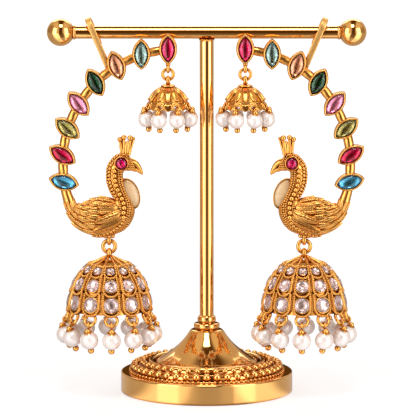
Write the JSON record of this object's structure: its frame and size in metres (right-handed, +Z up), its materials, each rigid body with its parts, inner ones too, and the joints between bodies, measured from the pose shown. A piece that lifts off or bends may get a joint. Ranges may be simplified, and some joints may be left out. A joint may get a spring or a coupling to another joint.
{
  "type": "ear cuff pair on display stand",
  "caption": "Pair of curved gold ear cuffs set with pointed-oval stones, each with a peacock and hanging bell drops fringed with pearls, hooked over a round-based T-bar stand.",
  "frame": {"origin": "centre of the stand's underside, on the table", "axes": "+Z up along the post, +X along the crossbar to the viewer's right, front toward -Y"},
  "size_m": [0.1208, 0.0654, 0.1433],
  "materials": {
    "polished_gold": "mirror-polished gold plate",
    "antique_gold": "antique gold plate, satin with dark recesses",
    "ruby_glass": "foil-backed pink-red glass, faceted or domed",
    "grey_glass": "foil-backed grey-blue glass, faceted",
    "peach_glass": "foil-backed peach glass, faceted",
    "emerald_glass": "foil-backed dark green glass, faceted",
    "pink_glass": "foil-backed pink glass, faceted",
    "olive_glass": "foil-backed olive glass, faceted",
    "aqua_glass": "foil-backed aqua blue glass, faceted",
    "moonstone": "milky cream cabochon with a soft glow",
    "pearl": "pearl coat, cream with a pink cast, on gold hangers"
  },
  "bodies": {
    "stand_with_cuffs": {"stand_base_disc": "polished_gold", "stand_lower_bead_ring": "polished_gold", "stand_upper_bead_ring": "polished_gold", "stand_inner_ring": "polished_gold", "stand_foot": "polished_gold", "stand_post": "polished_gold", "stand_crossbar": "polished_gold", "left_end_ball": "polished_gold", "right_end_ball": "polished_gold", "left_cuff_frame": "antique_gold", "left_peacock": "antique_gold", "left_stone_1_ruby": "ruby_glass", "left_stone_2_grey": "grey_glass", "left_stone_3_peach": "peach_glass", "left_stone_4_emerald": "emerald_glass", "left_stone_5_pink": "pink_glass", "left_stone_6_olive": "olive_glass", "left_stone_7_red": "ruby_glass", "left_stone_8_aqua": "aqua_glass", "left_eye_stone": "ruby_glass", "left_moonstone": "moonstone", "right_cuff_frame": "antique_gold", "right_peacock": "antique_gold", "right_stone_1_ruby": "ruby_glass", "right_stone_2_grey": "grey_glass", "right_stone_3_peach": "peach_glass", "right_stone_4_emerald": "emerald_glass", "right_stone_5_pink": "pink_glass", "right_stone_6_olive": "olive_glass", "right_stone_7_red": "ruby_glass", "right_stone_8_aqua": "aqua_glass", "right_eye_stone": "ruby_glass", "right_moonstone": "moonstone"},
    "left_large_link": {"left_large_jump_ring": "antique_gold"},
    "left_large_bell": {"left_large_jhumka_dome": "antique_gold", "left_large_pearl_fringe": "pearl"},
    "left_small_link": {"left_small_jump_ring": "antique_gold"},
    "left_small_bell": {"left_small_jhumka_dome": "antique_gold", "left_small_pearl_fringe": "pearl"},
    "right_large_link": {"right_large_jump_ring": "antique_gold"},
    "right_large_bell": {"right_large_jhumka_dome": "antique_gold", "right_large_pearl_fringe": "pearl"},
    "right_small_link": {"right_small_jump_ring": "antique_gold"},
    "right_small_bell": {"right_small_jhumka_dome": "antique_gold", "right_small_pearl_fringe": "pearl"}
  },
  "joints": [
    {"name": "left_large_ring_swing", "type": "hinge", "parent": "stand_with_cuffs", "child": "left_large_link", "pos_m": [-0.037, -0.004, 0.05721], "axis": [0, 1, 0], "range_deg": [-15, 25]},
    {"name": "left_large_bell_swing", "type": "hinge", "parent": "left_large_link", "child": "left_large_bell", "pos_m": [-0.037, -0.004, 0.05381], "axis": [1, 0, 0], "range_deg": [-20, 20]},
    {"name": "left_small_ring_swing", "type": "hinge", "parent": "stand_with_cuffs", "child": "left_small_link", "pos_m": [-0.01457, -0.0045, 0.12277], "axis": [0, 1, 0], "range_deg": [-2, 25]},
    {"name": "left_small_bell_swing", "type": "hinge", "parent": "left_small_link", "child": "left_small_bell", "pos_m": [-0.01457, -0.0045, 0.11979], "axis": [1, 0, 0], "range_deg": [-20, 20]},
    {"name": "right_large_ring_swing", "type": "hinge", "parent": "stand_with_cuffs", "child": "right_large_link", "pos_m": [0.037, -0.004, 0.05721], "axis": [0, 1, 0], "range_deg": [-25, 15]},
    {"name": "right_large_bell_swing", "type": "hinge", "parent": "right_large_link", "child": "right_large_bell", "pos_m": [0.037, -0.004, 0.05381], "axis": [1, 0, 0], "range_deg": [-20, 20]},
    {"name": "right_small_ring_swing", "type": "hinge", "parent": "stand_with_cuffs", "child": "right_small_link", "pos_m": [0.01457, -0.0045, 0.12277], "axis": [0, 1, 0], "range_deg": [-25, 2]},
    {"name": "right_small_bell_swing", "type": "hinge", "parent": "right_small_link", "child": "right_small_bell", "pos_m": [0.01457, -0.0045, 0.11979], "axis": [1, 0, 0], "range_deg": [-20, 20]}
  ]
}
